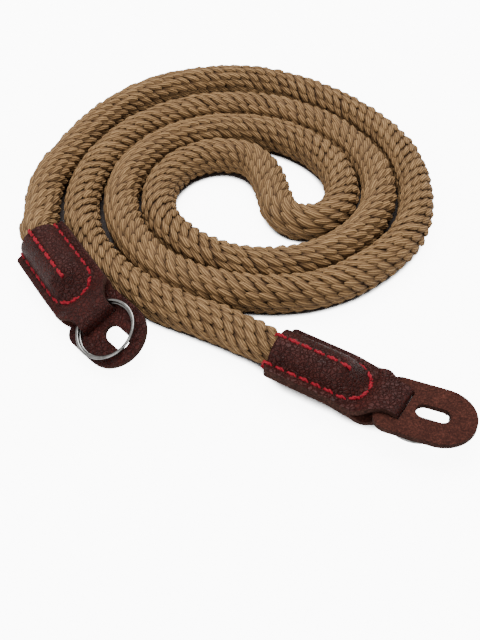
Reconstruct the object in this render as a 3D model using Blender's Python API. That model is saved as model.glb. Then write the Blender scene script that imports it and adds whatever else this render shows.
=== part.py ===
"""Coiled rope camera strap with two leather ends.

A soft braided rope lies in a flat double coil, folded at its middle. Each end of the
rope is sewn into a leather tab. The tab's tongue is folded round a split ring and
through the slit of a leather shield, whose lug slot the camera's strap lug comes through.

Lengths are in metres, +Z is up, and the strap lies on the plane z = 0.
"""
import math

import bmesh
import bpy
import numpy as np
from mathutils import Matrix, Vector

MM = 0.001

# Rope
ROPE_DIAMETER = 10.4 * MM
ROPE_SQUEEZE = 0.9 * MM             # lost from the radius where the leather grips it
ROPE_TIP_SQUEEZE = 1.5 * MM         # lost at the cut end inside the tab
ROPE_TIP_LENGTH = 2.0 * MM          # the cut end narrows over this length
ROPE_IN_TAB = 17.0 * MM             # length of rope inside each tab
NECK_LENGTH = 7.0 * MM              # the rope narrows over this length before a tab
TUBE_STEP = 9.0 * MM                # spacing of the tube's points along the coil
TUBE_TURN = math.radians(22.0)      # or sooner, once the tube has turned this far
TAB_STEP = 3.0 * MM                 # their spacing in and near a tab
LINE_STEPS = 24                     # points read from each span of the smooth curve
LEAD_SHARES = (1.0, 0.65, 0.32, 0.0, -0.06)     # the straight run in and out of a tab

# Leather tabs
LEATHER = 1.3 * MM                  # one leaf of a tab
TAB_WIDTH = 16.9 * MM
TAB_EDGE = 0.25 * MM                # how far the edge bulges out between its corners
POCKET_LENGTH = 25.0 * MM           # the sewn pocket that holds the rope, from the mouth
FOLD_LENGTH = 10.2 * MM             # from there to the end of the folded tongue
FOLD_OPENS = 2.6 * MM               # where in the fold its channel has its full height
FOLD_RAMP = 1.0 * MM                # the channel opens over this length
TONGUE_WIDTH = 10.0 * MM
TONGUE_LENGTH = 2.6 * MM            # the straight end of the tongue
TAPER_LENGTH = 7.5 * MM             # from the full width down to the tongue
CORNER_RADIUS = 1.2 * MM            # corners of the mouth, in plan
TIP_ROUND = 0.4 * MM                # rounding of the tongue's end
HUMP_FULLNESS = 0.6                 # below 1, the hump over the rope is fuller than a parabola
EDGE_SHARE = 0.35                   # the flat of the edge, as a share of the tab's thickness
POCKET_SIDES = 20

# Split rings, a flat wire wound twice
RING_OUTER_RADIUS = 8.5 * MM
RING_WIRE_WIDTH = 1.3 * MM
RING_WIRE_HEIGHT = 0.58 * MM
RING_TURN_GAP = 0.1 * MM
RING_STEPS = 28                     # sections in one turn
RING_WOUND = 684.0                  # degrees from one end of the wire to the other
RING_STEP_STARTS = 326.0            # degrees at which the wire steps up to its second turn
RING_STEP_ENDS = 356.0
RING_WIRE_STARTS = 40.0             # direction of the wire's first end, from the tab's axis

# Leather shields behind the rings
SHIELD_THICKNESS = 1.4 * MM
SHIELD_WIDTH = 18.0 * MM
SHIELD_REACH = 17.0 * MM            # past the end of the tongue
SHIELD_PLAY = 1.0 * MM              # from the channel's inner end to the shield's tail
SHIELD_CORNER = 4.0 * MM
LUG_SLOT_LENGTH = 8.6 * MM
LUG_SLOT_WIDTH = 4.4 * MM
LUG_SLOT_FROM_TONGUE = 6.8 * MM     # from the end of the tongue to the slot's middle
SLIT_PLAY = 0.9 * MM                # from the end of the tongue to the slit's far side

GAP = 0.3 * MM                      # clearance between two pieces that touch
CUT_MARGIN = 1.0 * MM               # how far a cutter reaches past what it cuts
SHARP_ANGLE = math.radians(40.0)    # edges sharper than this aren't shaded smooth

# The two ends: where each tab's mouth lies, where it points and how it is tipped.
# lift raises it off the surface, roll tips its edge onto the rope beside it, dip bends
# the tongue down, or up if below zero, and drop is how far the sewn end sinks. The shield
# is turned by skew and pushed out by slide. ring_on_top says which of ring and shield
# lies over the other.
# Lengths here are in millimetres, angles in degrees.
ENDS = {
    "left": dict(
        mouth=(-52.6, -8.7), heading=-57.5, lift=1.4, roll=27.0, dip=3.0,
        drop=0.6, skew=9.0, slide=-2.5, ring_on_top=True),
    "right": dict(
        mouth=(12.6, -47.5), heading=-31.0, lift=0.0, roll=-4.0, dip=-2.0,
        drop=0.9, skew=9.0, slide=0.5, ring_on_top=False),
}

# The rope's route in plan, in millimetres, from its left tab to its right one. It goes
# clockwise round the outside, turns back in a hairpin at its middle and unwinds again.
ROUTE = [
    (-54.4, 1.7), (-55.0, 16.2), (-50.1, 32.7), (-41.7, 49.1), (-28.4, 63.8),
    (-10.0, 71.6), (9.4, 71.7), (27.0, 63.9), (41.9, 51.0), (52.2, 33.9),
    (54.9, 13.7), (50.3, -3.7), (39.6, -16.0), (26.5, -24.1), (10.4, -26.7),
    (-5.6, -23.9), (-19.2, -15.9), (-28.4, -3.1), (-32.0, 11.7), (-28.9, 26.7),
    (-19.7, 38.5), (-6.1, 44.7), (9.4, 44.3), (23.1, 37.3), (31.7, 25.2),
    (33.2, 15.5), (30.4, 6.7), (22.7, 1.9), (15.7, 5.1), (13.1, 13.2),
    (11.5, 20.7), (7.0, 29.5), (-3.3, 32.7), (-13.7, 28.4), (-20.0, 18.4),
    (-20.2, 5.7), (-14.1, -5.0), (-3.3, -12.9), (9.9, -15.9), (23.4, -13.3),
    (35.1, -4.9), (42.7, 7.7), (43.8, 22.7), (37.8, 37.1), (27.1, 48.4),
    (12.7, 55.6), (-4.6, 56.9), (-20.9, 51.2), (-33.3, 40.2), (-41.1, 25.2),
    (-43.3, 8.7), (-39.5, -6.7), (-29.3, -21.5), (-15.1, -31.7), (0.9, -39.6),
]

ROPE_RADIUS = ROPE_DIAMETER / 2
GRIPPED_RADIUS = ROPE_RADIUS - ROPE_SQUEEZE
HUMP_RADIUS = GRIPPED_RADIUS + GAP + LEATHER        # outside of the leather round the rope
TAB_LENGTH = POCKET_LENGTH + FOLD_LENGTH
RING_HEIGHT = 2 * RING_WIRE_HEIGHT + RING_TURN_GAP
CHANNEL_HEIGHT = SHIELD_THICKNESS + RING_HEIGHT + 3 * GAP
FOLD_HALF = CHANNEL_HEIGHT / 2 + LEATHER            # half the thickness of the folded tongue
CHANNEL_END = FOLD_LENGTH - LEATHER                 # from the pocket's end

# Sections of a tab, as shares of the mouth's corner, of the gripped rope, of the stretch
# from there to the pocket's end, and of the fold.
CORNER_SHARES = (0.0, 0.3, 0.65, 1.0)
GRIP_SHARES = (0.3, 0.6, 0.88)
SEAM_SHARES = (0.06, 0.3, 0.55, 0.75, 0.94)
FOLD_SHARES = (0.1, 0.25, 0.39, 0.54, 0.64, 0.74, 0.86, 0.96)
# Points across a tab's upper side, as shares of its half width.
WIDTH_SHARES = (-1.0, -0.86, -0.74, -0.66, -0.56, -0.42, -0.22,
                0.0, 0.22, 0.42, 0.56, 0.66, 0.74, 0.86, 1.0)


def smooth(low, high, value):
    """Ease from 0 to 1 while value goes from low to high."""
    t = min(max((value - low) / (high - low), 0.0), 1.0)
    return t * t * (3 - 2 * t)


def smooth_curve(points, steps):
    """A natural cubic spline through the points, as steps points for each span."""
    points = np.array(points, dtype=float)
    lengths = np.linalg.norm(np.diff(points, axis=0), axis=1)
    count = len(points)
    matrix = np.eye(count)
    right = np.zeros_like(points)
    for i in range(1, count - 1):
        before, after = lengths[i - 1], lengths[i]
        matrix[i, i - 1:i + 2] = before, 2 * (before + after), after
        right[i] = 6 * ((points[i + 1] - points[i]) / after - (points[i] - points[i - 1]) / before)
    bend = np.linalg.solve(matrix, right)
    curve = []
    for i, span in enumerate(lengths):
        for share in np.arange(steps) / steps:
            done, left = share * span, (1 - share) * span
            cubic = (bend[i] * left ** 3 + bend[i + 1] * done ** 3) / (6 * span)
            start = (points[i] / span - bend[i] * span / 6) * left
            end = (points[i + 1] / span - bend[i + 1] * span / 6) * done
            curve.append(cubic + start + end)
    curve.append(points[-1])
    return np.array(curve)


def material(name, colour, roughness, metallic=0.0):
    result = bpy.data.materials.new(name)
    result.use_nodes = True
    shader = result.node_tree.nodes["Principled BSDF"]
    shader.inputs["Base Color"].default_value = (*colour, 1.0)
    shader.inputs["Roughness"].default_value = roughness
    shader.inputs["Metallic"].default_value = metallic
    return result


def add_mesh(name, bm, parent=None, finish=None):
    bmesh.ops.recalc_face_normals(bm, faces=bm.faces)
    mesh = bpy.data.meshes.new(name)
    bm.to_mesh(mesh)
    bm.free()
    mesh.shade_smooth()
    mesh.set_sharp_from_angle(angle=SHARP_ANGLE)
    obj = bpy.data.objects.new(name, mesh)
    bpy.context.scene.collection.objects.link(obj)
    obj.parent = parent
    if finish:
        mesh.materials.append(finish)
    return obj


def add_empty(name, matrix, parent=None):
    empty = bpy.data.objects.new(name, None)
    bpy.context.scene.collection.objects.link(empty)
    empty.parent = parent
    empty.matrix_local = matrix
    return empty


def cut(obj, cutter):
    """Take the cutter's shape out of the object with a Boolean."""
    cutter.hide_render = True
    cutter.display_type = "WIRE"
    modifier = obj.modifiers.new("cut " + cutter.name, "BOOLEAN")
    modifier.operation = "DIFFERENCE"
    modifier.solver = "EXACT"
    modifier.object = cutter


def loft(sections):
    """Close a solid through rings of points that all have the same count."""
    bm = bmesh.new()
    rings = [[bm.verts.new(point) for point in section] for section in sections]
    count = len(rings[0])
    for ring, following in zip(rings, rings[1:]):
        for i in range(count):
            j = (i + 1) % count
            bm.faces.new((ring[i], ring[j], following[j], following[i]))
    bm.faces.new(rings[0])
    bm.faces.new(rings[-1])
    return bm


def prism(outline, low, high):
    """A solid with this outline in x and y, from z = low to z = high."""
    return loft([[(x, y, z) for x, y in outline] for z in (low, high)])


def arc(centre, radius, first, last, steps):
    """Points on an arc in plan, angles in degrees."""
    angles = [math.radians(first + (last - first) * i / steps) for i in range(steps + 1)]
    return [(centre[0] + radius * math.cos(a), centre[1] + radius * math.sin(a)) for a in angles]


def stadium(centre_x, length, width, steps=8):
    """The outline of a slot with round ends, along x."""
    radius = width / 2
    reach = length / 2 - radius
    return (arc((centre_x + reach, 0), radius, -90, 90, steps)
            + arc((centre_x - reach, 0), radius, 90, 270, steps))


def end_matrix(end):
    """The tab's frame: origin on the rope's axis at the mouth, +X out towards the ring."""
    x, y = end["mouth"]
    place = Matrix.Translation((x * MM, y * MM, HUMP_RADIUS + end["lift"] * MM))
    turn = Matrix.Rotation(math.radians(end["heading"]), 4, "Z")
    roll = Matrix.Rotation(math.radians(end["roll"]), 4, "X")
    return place @ turn @ roll


def tab_middle(end, x):
    """Height of the tab's middle plane at x: level over the rope, then dipping."""
    level = -end["drop"] * MM * smooth(ROPE_IN_TAB, POCKET_LENGTH, x)
    return level - math.tan(math.radians(end["dip"])) * max(x - POCKET_LENGTH, 0.0)


def tab_half_width(x):
    straight_end = TAB_LENGTH - TONGUE_LENGTH
    narrowing = smooth(straight_end - TAPER_LENGTH, straight_end, x)
    half = TAB_WIDTH / 2 + (TONGUE_WIDTH - TAB_WIDTH) / 2 * narrowing - TAB_EDGE
    if x < CORNER_RADIUS:
        half -= CORNER_RADIUS - math.sqrt(CORNER_RADIUS ** 2 - (CORNER_RADIUS - x) ** 2)
    return half


def tab_section(end, x):
    """One ring of points round the tab at x, over the top and back underneath."""
    middle = tab_middle(end, x)
    half = tab_half_width(x)
    opening = smooth(POCKET_LENGTH - FOLD_RAMP, POCKET_LENGTH + FOLD_OPENS + FOLD_RAMP, x)
    flank = LEATHER + (FOLD_HALF - LEATHER) * opening
    height = (HUMP_RADIUS - LEATHER) * (1 - smooth(ROPE_IN_TAB, POCKET_LENGTH, x))
    upper = []
    for share in WIDTH_SHARES:
        y = share * half
        inside = max(1 - (y / HUMP_RADIUS) ** 2, 0.0)
        upper.append((y, flank + height * inside ** HUMP_FULLNESS))
    edge = EDGE_SHARE * flank
    top = [(x, y, middle + z) for y, z in upper]
    bottom = [(x, y, middle - z) for y, z in reversed(upper)]
    side = half + TAB_EDGE
    return top + [(x, side, middle + edge), (x, side, middle - edge)] + bottom + [
        (x, -side, middle - edge), (x, -side, middle + edge)]


def tab_stations():
    """Distances from the mouth at which the tab's sections lie."""
    seam = POCKET_LENGTH - ROPE_IN_TAB
    return ([CORNER_RADIUS * share for share in CORNER_SHARES]
            + [ROPE_IN_TAB * share for share in GRIP_SHARES]
            + [ROPE_IN_TAB + seam * share for share in SEAM_SHARES]
            + [POCKET_LENGTH + FOLD_LENGTH * share for share in FOLD_SHARES])


def pocket_shape():
    """The hole for the rope: round, and narrower towards the rope's cut end."""
    stops = ((-CUT_MARGIN, ROPE_SQUEEZE), (ROPE_IN_TAB - ROPE_TIP_LENGTH, ROPE_SQUEEZE),
             (ROPE_IN_TAB + GAP, ROPE_TIP_SQUEEZE))
    sections = []
    for x, squeeze in stops:
        circle = arc((0, 0), ROPE_RADIUS - squeeze + GAP, 0, 360, POCKET_SIDES)[:-1]
        sections.append([(x, y, z) for y, z in circle])
    return loft(sections)


def channel_shape():
    """The space in the fold, right across the tab, as a wedge that opens to a slab."""
    start = FOLD_OPENS - FOLD_RAMP
    half = CHANNEL_HEIGHT / 2
    edge = GAP / 2
    profile = [(start, -edge), (FOLD_OPENS, -half), (CHANNEL_END, -half),
               (CHANNEL_END, half), (FOLD_OPENS, half), (start, edge)]
    return loft([[(x, y, z) for x, z in profile] for y in (-TAB_WIDTH, TAB_WIDTH)])


def make_tab(side, end, frame, stack, finish):
    sections = [tab_section(end, x) for x in tab_stations()]
    last = sections[-1]
    sink = tab_middle(end, TAB_LENGTH)
    middle = tab_middle(end, last[0][0])
    narrow = 1 - TIP_ROUND / (TONGUE_WIDTH / 2)
    thin = 1 - TIP_ROUND / FOLD_HALF
    sections.append([(TAB_LENGTH, y * narrow, sink + (z - middle) * thin) for _, y, z in last])
    tab = add_mesh("end_tab_" + side, loft(sections), frame, finish)
    cut(tab, add_mesh("pocket_cutter_" + side, pocket_shape(), frame))
    cut(tab, add_mesh("channel_cutter_" + side, channel_shape(), stack))
    return tab


def stack_levels(end):
    """Heights in the fold, from the channel's floor: the shield's and the ring's undersides."""
    floor = -CHANNEL_HEIGHT / 2 + GAP
    if end["ring_on_top"]:
        return floor, floor + SHIELD_THICKNESS + GAP
    return floor + RING_HEIGHT + GAP, floor


def make_shield(side, end, stack, finish):
    low = stack_levels(end)[0]
    high = low + SHIELD_THICKNESS
    half = SHIELD_WIDTH / 2
    tail = FOLD_OPENS + SHIELD_PLAY
    far = FOLD_LENGTH + SHIELD_REACH - half + end["slide"] * MM
    corner_x, corner_y = tail + SHIELD_CORNER, half - SHIELD_CORNER
    outline = (arc((far, 0), half, -90, 90, 20)
               + arc((corner_x, corner_y), SHIELD_CORNER, 90, 180, 5)
               + arc((corner_x, -corner_y), SHIELD_CORNER, 180, 270, 5))
    slot = stadium(FOLD_LENGTH + LUG_SLOT_FROM_TONGUE, LUG_SLOT_LENGTH, LUG_SLOT_WIDTH)
    slit_start, slit_end = CHANNEL_END - GAP, FOLD_LENGTH + SLIT_PLAY
    slit_half = TONGUE_WIDTH / 2 + 2 * GAP
    slit = [(slit_start, -slit_half), (slit_end, -slit_half), (slit_end, slit_half), (slit_start, slit_half)]

    # The outline and the lug slot turn with the shield, about the end of the tongue.
    # The slit stays square to the tongue that goes through it.
    pivot = Matrix.Translation((FOLD_LENGTH, 0, 0))
    skew = pivot @ Matrix.Rotation(math.radians(end["skew"]), 4, "Z") @ pivot.inverted()
    shield = add_mesh("shield_" + side, prism(outline, low, high), stack, finish)
    shield.matrix_local = skew
    below, above = low - CUT_MARGIN, high + CUT_MARGIN
    slot_cutter = add_mesh("slot_cutter_" + side, prism(slot, below, above), stack)
    slot_cutter.matrix_local = skew
    cut(shield, slot_cutter)
    cut(shield, add_mesh("slit_cutter_" + side, prism(slit, below, above), stack))
    return shield


def make_ring(side, end, stack, finish):
    """A split ring: flat wire that lies for a turn, steps up and lies for a second one."""
    inner = RING_OUTER_RADIUS - RING_WIRE_WIDTH
    # The ring hangs on the fold's inner end, so its wire clears both sides of the tongue.
    chord = math.sqrt(inner ** 2 - (TONGUE_WIDTH / 2 + GAP) ** 2)
    centre = Vector((CHANNEL_END - GAP + chord, 0, stack_levels(end)[1]))
    pitch = RING_WIRE_HEIGHT + RING_TURN_GAP
    sections = []
    for i in range(int(RING_STEPS * RING_WOUND / 360) + 1):
        angle = i * 360 / RING_STEPS
        base = pitch * smooth(RING_STEP_STARTS, RING_STEP_ENDS, angle)
        turn = math.radians(RING_WIRE_STARTS + angle)
        outward = Vector((math.cos(turn), math.sin(turn), 0))
        corners = ((inner, base), (RING_OUTER_RADIUS, base),
                   (RING_OUTER_RADIUS, base + RING_WIRE_HEIGHT), (inner, base + RING_WIRE_HEIGHT))
        sections.append([centre + outward * radius + Vector((0, 0, z)) for radius, z in corners])
    return add_mesh("split_ring_" + side, loft(sections), stack, finish)


def rope_line():
    """The rope's centre line, the distance along it and its radius, from end to end."""
    first, last = (end_matrix(ENDS[side]) for side in ("left", "right"))
    lead = [Vector((ROPE_IN_TAB * share, 0, 0)) for share in LEAD_SHARES]
    coil = [Vector((x * MM, y * MM, ROPE_RADIUS)) for x, y in ROUTE]
    points = [first @ p for p in lead] + coil + [last @ p for p in reversed(lead)]
    line = smooth_curve([tuple(p) for p in points], LINE_STEPS)
    line[:, 2] = np.maximum(line[:, 2], ROPE_RADIUS)
    travelled = np.concatenate([[0], np.cumsum(np.linalg.norm(np.diff(line, axis=0), axis=1))])
    radii = []
    for done in travelled:
        from_tip = min(done, travelled[-1] - done)
        neck = smooth(ROPE_IN_TAB, ROPE_IN_TAB + NECK_LENGTH, from_tip)
        tip = smooth(0.0, ROPE_TIP_LENGTH, from_tip)
        squeeze = ROPE_TIP_SQUEEZE + (ROPE_SQUEEZE - ROPE_TIP_SQUEEZE) * tip
        radii.append(ROPE_RADIUS - squeeze * (1 - neck))
    return line, travelled, radii


def make_rope(finish):
    line, travelled, radii = rope_line()
    kept = [0]
    turned = 0.0
    for i in range(1, len(line) - 1):
        turned += Vector(line[i] - line[i - 1]).angle(Vector(line[i + 1] - line[i]))
        near_tab = min(travelled[i], travelled[-1] - travelled[i]) < ROPE_IN_TAB + NECK_LENGTH
        step = TAB_STEP if near_tab else TUBE_STEP
        if travelled[i] - travelled[kept[-1]] >= step or turned >= TUBE_TURN:
            kept.append(i)
            turned = 0.0
    kept.append(len(line) - 1)
    curve = bpy.data.curves.new("rope", "CURVE")
    curve.dimensions = "3D"
    curve.bevel_depth = ROPE_RADIUS
    curve.bevel_resolution = 3
    curve.use_fill_caps = True
    spline = curve.splines.new("POLY")
    spline.points.add(len(kept) - 1)
    for point, i in zip(spline.points, kept):
        point.co = (*line[i], 1.0)
        point.radius = radii[i] / ROPE_RADIUS
    curve.materials.append(finish)
    rope = bpy.data.objects.new("rope", curve)
    bpy.context.scene.collection.objects.link(rope)
    return rope


def main():
    for obj in list(bpy.data.objects):
        bpy.data.objects.remove(obj, do_unlink=True)

    rope_finish = material("tan braid", (0.30, 0.19, 0.095), 0.85)
    leather_finish = material("dark brown leather", (0.05, 0.018, 0.014), 0.55)
    suede_finish = material("red brown suede", (0.09, 0.025, 0.018), 0.9)
    steel_finish = material("polished steel", (0.62, 0.61, 0.60), 0.2, metallic=1.0)

    make_rope(rope_finish)
    for side, end in ENDS.items():
        frame = add_empty("frame_" + side, end_matrix(end))
        # The fold's own frame starts where the pocket ends.
        hinge = Matrix.Translation((POCKET_LENGTH, 0, tab_middle(end, POCKET_LENGTH)))
        dip = Matrix.Rotation(math.radians(end["dip"]), 4, "Y")
        stack = add_empty("stack_" + side, hinge @ dip, frame)
        make_tab(side, end, frame, stack, leather_finish)
        make_shield(side, end, stack, leather_finish if end["ring_on_top"] else suede_finish)
        make_ring(side, end, stack, steel_finish)


main()
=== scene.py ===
# %% [markdown]
# # A coiled rope camera strap
#
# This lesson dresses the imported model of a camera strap: a braided rope in a flat double
# coil, with a sewn leather tab, a split ring and a leather shield at each end. The frame
# holds every CAD piece in metres, with +Z up, and the strap lies on the plane z = 0.
# The camera and the rope come first, because everything else is judged against them.

# %% Load the frame
import math
from functools import partial

import bmesh
import bpy
import numpy as np
from mathutils import Matrix, Vector


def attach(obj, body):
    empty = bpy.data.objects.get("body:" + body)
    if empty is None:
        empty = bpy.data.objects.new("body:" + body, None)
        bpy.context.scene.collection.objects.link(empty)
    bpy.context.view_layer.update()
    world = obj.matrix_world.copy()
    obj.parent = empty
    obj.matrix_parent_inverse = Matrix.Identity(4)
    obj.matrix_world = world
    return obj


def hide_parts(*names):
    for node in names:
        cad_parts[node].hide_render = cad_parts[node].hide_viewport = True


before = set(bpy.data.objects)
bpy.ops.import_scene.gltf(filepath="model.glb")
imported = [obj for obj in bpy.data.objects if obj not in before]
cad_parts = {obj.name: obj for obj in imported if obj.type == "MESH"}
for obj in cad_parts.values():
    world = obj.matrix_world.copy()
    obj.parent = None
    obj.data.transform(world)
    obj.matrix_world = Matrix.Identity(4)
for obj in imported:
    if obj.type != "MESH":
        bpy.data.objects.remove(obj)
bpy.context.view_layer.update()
MM = 0.001
print("nodes:", ", ".join(sorted(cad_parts)))

# %% [markdown]
# ## The camera
#
# The strap was photographed from above and in front. How much the braid shrinks from the
# near side of the coil to the far side gives the lens, and how flat the coil looks gives
# the angle. Both are stated here as a lens and a tilt, so they can be changed by hand.

# %% Place the camera
PICTURE_WIDTH = 480
FOCAL_PIXELS = 984.62
SENSOR_WIDTH = 36.0
CAMERA_PITCH = 47.6
CAMERA_PLACE = Vector((2.9, -210.05, 195.55)) * MM


def add_object(name, data):
    """An object in the scene that shows this mesh, curve, camera or lamp."""
    obj = bpy.data.objects.new(name, data)
    bpy.context.scene.collection.objects.link(obj)
    return obj


camera_data = bpy.data.cameras.new("camera")
camera_data.sensor_fit = "HORIZONTAL"
camera_data.sensor_width = SENSOR_WIDTH
camera_data.lens = FOCAL_PIXELS / PICTURE_WIDTH * SENSOR_WIDTH
camera_data.clip_start = 10 * MM
camera = add_object("camera", camera_data)
camera.location = CAMERA_PLACE
camera.rotation_euler = (math.radians(90 - CAMERA_PITCH), 0, 0)
bpy.context.scene.camera = camera
print("lens in mm:", round(camera_data.lens, 2))

# %% [markdown]
# ## The rope's route
#
# A rope is a fixed length of something soft, so its route is drawn first and everything on
# it follows. These are the same points as in the CAD model, from the left tab,
# clockwise round the outside, back in a hairpin at the rope's middle and out to the right
# tab. Both of its ends lie in leather tabs, whose places are written down here as well.

# %% Write down the route
ROPE_RADIUS = 5.2 * MM
ROPE_IN_TAB = 17.0 * MM
HUMP_RADIUS = 5.9 * MM
SPAN_STEPS = 12
# Where the line runs straight inside a tab, as shares of ROPE_IN_TAB from the mouth.
LEAD_SHARES = (1.0, 0.65, 0.32, 0.0, -0.06)
# Millimetres and degrees. A tab's mouth and heading are in plan. It is lifted and rolled onto
# the rope beside it. Past the rope's end its middle drops, and from there on it dips. Its
# shield is skewed, and reaches further by slide.
ENDS = {
    "left": dict(
        mouth=(-52.6, -8.7), heading=-57.5, lift=1.4, roll=27.0, dip=3.0,
        drop=0.6, skew=9.0, slide=-2.5, ring_on_top=True),
    "right": dict(
        mouth=(12.6, -47.5), heading=-31.0, lift=0.0, roll=-4.0, dip=-2.0,
        drop=0.9, skew=9.0, slide=0.5, ring_on_top=False),
}
ROUTE = [
    (-54.4, 1.7), (-55.0, 16.2), (-50.1, 32.7), (-41.7, 49.1), (-28.4, 63.8),
    (-10.0, 71.6), (9.4, 71.7), (27.0, 63.9), (41.9, 51.0), (52.2, 33.9),
    (54.9, 13.7), (50.3, -3.7), (39.6, -16.0), (26.5, -24.1), (10.4, -26.7),
    (-5.6, -23.9), (-19.2, -15.9), (-28.4, -3.1), (-32.0, 11.7), (-28.9, 26.7),
    (-19.7, 38.5), (-6.1, 44.7), (9.4, 44.3), (23.1, 37.3), (31.7, 25.2),
    (33.2, 15.5), (30.4, 6.7), (22.7, 1.9), (15.7, 5.1), (13.1, 13.2),
    (11.5, 20.7), (7.0, 29.5), (-3.3, 32.7), (-13.7, 28.4), (-20.0, 18.4),
    (-20.2, 5.7), (-14.1, -5.0), (-3.3, -12.9), (9.9, -15.9), (23.4, -13.3),
    (35.1, -4.9), (42.7, 7.7), (43.8, 22.7), (37.8, 37.1), (27.1, 48.4),
    (12.7, 55.6), (-4.6, 56.9), (-20.9, 51.2), (-33.3, 40.2), (-41.1, 25.2),
    (-43.3, 8.7), (-39.5, -6.7), (-29.3, -21.5), (-15.1, -31.7), (0.9, -39.6),
]

print("points on the route:", len(ROUTE), "tabs:", ", ".join(ENDS))

# %% [markdown]
# ## A smooth line through the points
#
# A line drawn straight from point to point would bend the rope at each of them. A natural
# cubic spline through them has no kinks, as a rope that lies loose has none. It is worked
# out here and not left to a curve object, because the rope's length has to be measured.

# %% Draw the line
def end_matrix(end):
    """A tab's frame: origin on the rope's axis at the mouth, +X out towards the ring."""
    x, y = end["mouth"]
    place = Matrix.Translation((x * MM, y * MM, HUMP_RADIUS + end["lift"] * MM))
    turn = Matrix.Rotation(math.radians(end["heading"]), 4, "Z")
    return place @ turn @ Matrix.Rotation(math.radians(end["roll"]), 4, "X")


def smooth_curve(points, steps):
    """A natural cubic spline through the points, as steps points for each span."""
    points = np.array(points, dtype=float)
    lengths = np.linalg.norm(np.diff(points, axis=0), axis=1)
    matrix = np.eye(len(points))
    right = np.zeros_like(points)
    for i in range(1, len(points) - 1):
        before, after = lengths[i - 1], lengths[i]
        matrix[i, i - 1:i + 2] = before, 2 * (before + after), after
        right[i] = 6 * ((points[i + 1] - points[i]) / after - (points[i] - points[i - 1]) / before)
    bend = np.linalg.solve(matrix, right)
    curve = []
    for i, span in enumerate(lengths):
        for share in np.arange(steps) / steps:
            done, left = share * span, (1 - share) * span
            cubic = (bend[i] * left ** 3 + bend[i + 1] * done ** 3) / (6 * span)
            start = (points[i] / span - bend[i] * span / 6) * left
            end = (points[i + 1] / span - bend[i + 1] * span / 6) * done
            curve.append(cubic + start + end)
    curve.append(points[-1])
    return np.array(curve)


def rope_line():
    """The rope's centre line from inside the left tab to inside the right one."""
    first, last = (end_matrix(ENDS[side]) for side in ("left", "right"))
    lead = [Vector((ROPE_IN_TAB * share, 0, 0)) for share in LEAD_SHARES]
    coil = [Vector((x * MM, y * MM, ROPE_RADIUS)) for x, y in ROUTE]
    points = [first @ p for p in lead] + coil + [last @ p for p in reversed(lead)]
    line = smooth_curve([tuple(p) for p in points], SPAN_STEPS)
    line[:, 2] = np.maximum(line[:, 2], ROPE_RADIUS)
    return line


line = rope_line()

# %% [markdown]
# ## Helpers for meshes and node trees
#
# Every piece ends as a plain mesh that sits at the origin, with its place in its vertices,
# and rides on the CAD body. The node helper makes a node, sets its values and links its
# inputs in one call, so that a tree reads like the list of steps that it is. Python's
# partial() keeps the tree's name out of those calls.

# %% Define the helpers for meshes
MERGE_DISTANCE = 1e-7
SHARP_ANGLE = math.radians(50)


def smooth(low, high, value):
    """Ease from 0 to 1 while value goes from low to high."""
    t = min(max((value - low) / (high - low), 0.0), 1.0)
    return t * t * (3 - 2 * t)


def mesh_object(name, vertices, faces, edges=()):
    mesh = bpy.data.meshes.new(name)
    mesh.from_pydata([tuple(v) for v in vertices], edges, faces)
    return add_object(name, mesh)


def plain_copy(source, name):
    """The evaluated object as a plain mesh object, and the source is taken away."""
    bpy.context.view_layer.update()
    evaluated = source.evaluated_get(bpy.context.evaluated_depsgraph_get())
    mesh = bpy.data.meshes.new_from_object(evaluated)
    mesh.name = name
    bpy.data.objects.remove(source, do_unlink=True)
    return add_object(name, mesh)


def apply_place(obj, matrix):
    """Puts a place into the vertices, so that the object itself stays at the origin."""
    obj.data.transform(matrix)
    obj.data.update()


def loft_faces(rings, count, closed=True, caps=True):
    """Faces between rings of count points each, and over the two ends if they have caps."""
    faces = []
    for r in range(rings - 1):
        for i in range(count if closed else count - 1):
            j = (i + 1) % count
            faces.append((r * count + i, r * count + j, (r + 1) * count + j, (r + 1) * count + i))
    if caps:
        faces.append(tuple(reversed(range(count))))
        faces.append(tuple((rings - 1) * count + i for i in range(count)))
    return faces


def face_outwards(obj):
    bm = bmesh.new()
    bm.from_mesh(obj.data)
    bmesh.ops.remove_doubles(bm, verts=bm.verts, dist=MERGE_DISTANCE)
    bmesh.ops.recalc_face_normals(bm, faces=bm.faces)
    bm.to_mesh(obj.data)
    bm.free()


def yarn_piece(name, vertices, faces, uv_rule):
    """A small smooth mesh whose UV map "yarn" runs along and across it, by a rule."""
    obj = mesh_object(name, vertices, faces)
    face_outwards(obj)
    obj.data.shade_smooth()
    layer = obj.data.uv_layers.new(name="yarn")
    for loop in obj.data.loops:
        layer.data[loop.index].uv = uv_rule(*obj.data.vertices[loop.vertex_index].co)
    return obj


def finish_piece(obj, node=None):
    """Rides the piece on the part's one body, in place of a CAD node."""
    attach(obj, "root")
    if node:
        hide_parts(node)
    triangles = sum(len(p.vertices) - 2 for p in obj.data.polygons)
    print(obj.name, "has", triangles, "triangles")


# %% Define the helpers for node trees
def add_node(tree, kind, values=None, **settings):
    """A node with its settings, and its inputs set or linked by name or index."""
    node = tree.nodes.new(kind)
    for key, value in settings.items():
        setattr(node, key, value)
    for key, value in (values or {}).items():
        if isinstance(value, bpy.types.NodeSocket):
            tree.links.new(value, node.inputs[key])
        else:
            node.inputs[key].default_value = value
    return node


def math_node(tree, operation, *values):
    return add_node(tree, "ShaderNodeMath", dict(enumerate(values)), operation=operation).outputs[0]


def vector_node(tree, operation, *values, **named):
    values = dict(enumerate(values)) | {key.title(): value for key, value in named.items()}
    return add_node(tree, "ShaderNodeVectorMath", values, operation=operation).outputs[0]


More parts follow.
